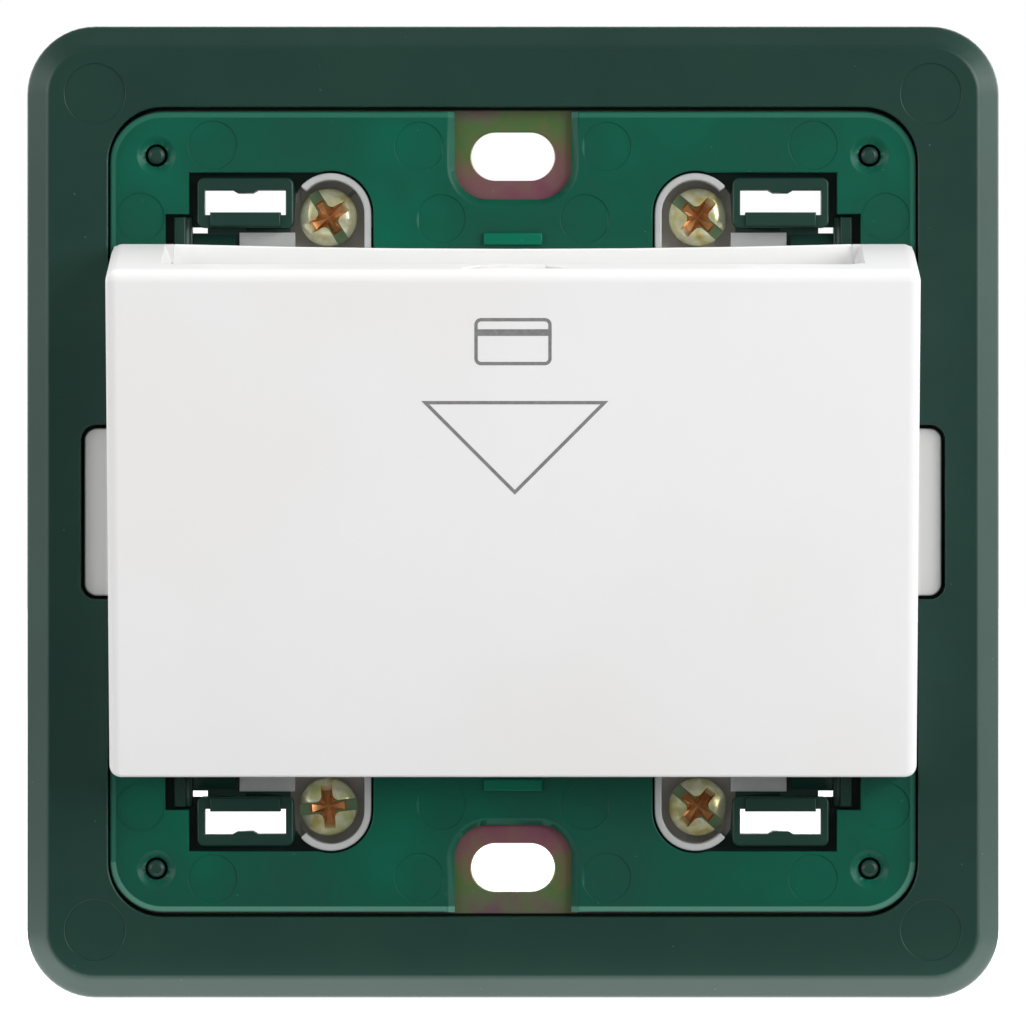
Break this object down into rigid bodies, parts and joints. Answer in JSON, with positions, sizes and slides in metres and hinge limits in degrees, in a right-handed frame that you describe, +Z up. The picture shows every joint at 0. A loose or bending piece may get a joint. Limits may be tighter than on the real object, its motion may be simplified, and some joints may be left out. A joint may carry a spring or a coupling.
{
  "type": "hotel key card switch",
  "caption": "Flush-mounted key card switch: square frame, wedge-shaped card pocket over a sprung lever that closes the contacts, and screw terminals reached from the front.",
  "frame": {"origin": "middle of the flange's back face, in the plane of the wall", "axes": "+X to the right seen from the front, +Z up, and +Y into the wall, so the front faces -Y"},
  "size_m": [0.082, 0.0372, 0.082],
  "materials": {
    "frame_plastic": "fine moulded texture, dark green",
    "cover_plastic": "semi-gloss, slightly translucent green",
    "white_plastic": "gloss white",
    "grey_plastic": "satin light grey",
    "bridge_steel": "iridescent yellow passivation",
    "screw_zinc": "yellow zinc passivation",
    "plain_steel": "bright zinc",
    "strip_brass": "rolled brass",
    "blade_bronze": "rolled phosphor bronze",
    "tip_silver": "silver alloy"
  },
  "bodies": {
    "base": {"mounting_frame": "frame_plastic", "steel_bridge": "bridge_steel", "insulating_cover": "cover_plastic", "pocket_front": "white_plastic", "pocket_base": "white_plastic", "pocket_base_screws": "plain_steel", "mechanism_housing": "grey_plastic", "rear_cover": "grey_plastic", "rear_cover_screws": "plain_steel", "lever_pin": "plain_steel", "lever_spring": "plain_steel", "upper_contact_strip_left": "strip_brass", "upper_contact_strip_right": "strip_brass", "lower_contact_strip_left": "strip_brass", "lower_contact_strip_right": "strip_brass", "fixed_contact_tip_left": "tip_silver", "fixed_contact_tip_right": "tip_silver"},
    "lever": {"card_lever": "grey_plastic"},
    "arm_left": {"contact_arm_left": "blade_bronze", "arm_contact_tip_left": "tip_silver"},
    "arm_right": {"contact_arm_right": "blade_bronze", "arm_contact_tip_right": "tip_silver"},
    "screw_top_left": {"terminal_screw_top_left": "screw_zinc"},
    "screw_top_right": {"terminal_screw_top_right": "screw_zinc"},
    "screw_bottom_left": {"terminal_screw_bottom_left": "screw_zinc"},
    "screw_bottom_right": {"terminal_screw_bottom_right": "screw_zinc"},
    "cage_top_left": {"clamp_cage_top_left": "plain_steel"},
    "cage_top_right": {"clamp_cage_top_right": "plain_steel"},
    "cage_bottom_left": {"clamp_cage_bottom_left": "plain_steel"},
    "cage_bottom_right": {"clamp_cage_bottom_right": "plain_steel"}
  },
  "joints": [
    {"name": "lever_swing", "type": "hinge", "parent": "base", "child": "lever", "pos_m": [0, 0.0012, 0.003], "axis": [1, 0, 0], "range_deg": [0, 6.8], "stiffness_Nm_per_rad": 0.05, "springref_deg": -11.46, "deforming": ["lever_spring"]},
    {"name": "arm_left_swing", "type": "hinge", "parent": "base", "child": "arm_left", "pos_m": [-0.0156, 0.0062, -0.0184], "axis": [1, 0, 0], "range_deg": [-5.45, 0]},
    {"name": "arm_right_swing", "type": "hinge", "parent": "base", "child": "arm_right", "pos_m": [0.0156, 0.0062, -0.0184], "axis": [1, 0, 0], "range_deg": [-5.45, 0]},
    {"name": "screw_top_left_turn", "type": "hinge", "parent": "base", "child": "screw_top_left", "pos_m": [-0.0156, 0, 0.0249], "axis": [0, 1, 0], "range_deg": [0, 1440]},
    {"name": "screw_top_right_turn", "type": "hinge", "parent": "base", "child": "screw_top_right", "pos_m": [0.0156, 0, 0.0249], "axis": [0, 1, 0], "range_deg": [0, 1440]},
    {"name": "screw_bottom_left_turn", "type": "hinge", "parent": "base", "child": "screw_bottom_left", "pos_m": [-0.0156, 0, -0.0249], "axis": [0, 1, 0], "range_deg": [0, 1440]},
    {"name": "screw_bottom_right_turn", "type": "hinge", "parent": "base", "child": "screw_bottom_right", "pos_m": [0.0156, 0, -0.0249], "axis": [0, 1, 0], "range_deg": [0, 1440]},
    {"name": "cage_top_left_slide", "type": "slide", "parent": "base", "child": "cage_top_left", "axis": [0, -1, 0], "range_m": [0, 0.0024]},
    {"name": "cage_top_right_slide", "type": "slide", "parent": "base", "child": "cage_top_right", "axis": [0, -1, 0], "range_m": [0, 0.0024]},
    {"name": "cage_bottom_left_slide", "type": "slide", "parent": "base", "child": "cage_bottom_left", "axis": [0, -1, 0], "range_m": [0, 0.0024]},
    {"name": "cage_bottom_right_slide", "type": "slide", "parent": "base", "child": "cage_bottom_right", "axis": [0, -1, 0], "range_m": [0, 0.0024]}
  ],
  "couplings": [
    {"joint": "arm_left_swing", "follows": "lever_swing", "ratio": -0.8},
    {"joint": "arm_right_swing", "follows": "lever_swing", "ratio": -0.8},
    {"joint": "screw_top_left_turn", "follows": "cage_top_left_slide", "rad_per_m": 10472},
    {"joint": "screw_top_right_turn", "follows": "cage_top_right_slide", "rad_per_m": 10472},
    {"joint": "screw_bottom_left_turn", "follows": "cage_bottom_left_slide", "rad_per_m": 10472},
    {"joint": "screw_bottom_right_turn", "follows": "cage_bottom_right_slide", "rad_per_m": 10472}
  ]
}
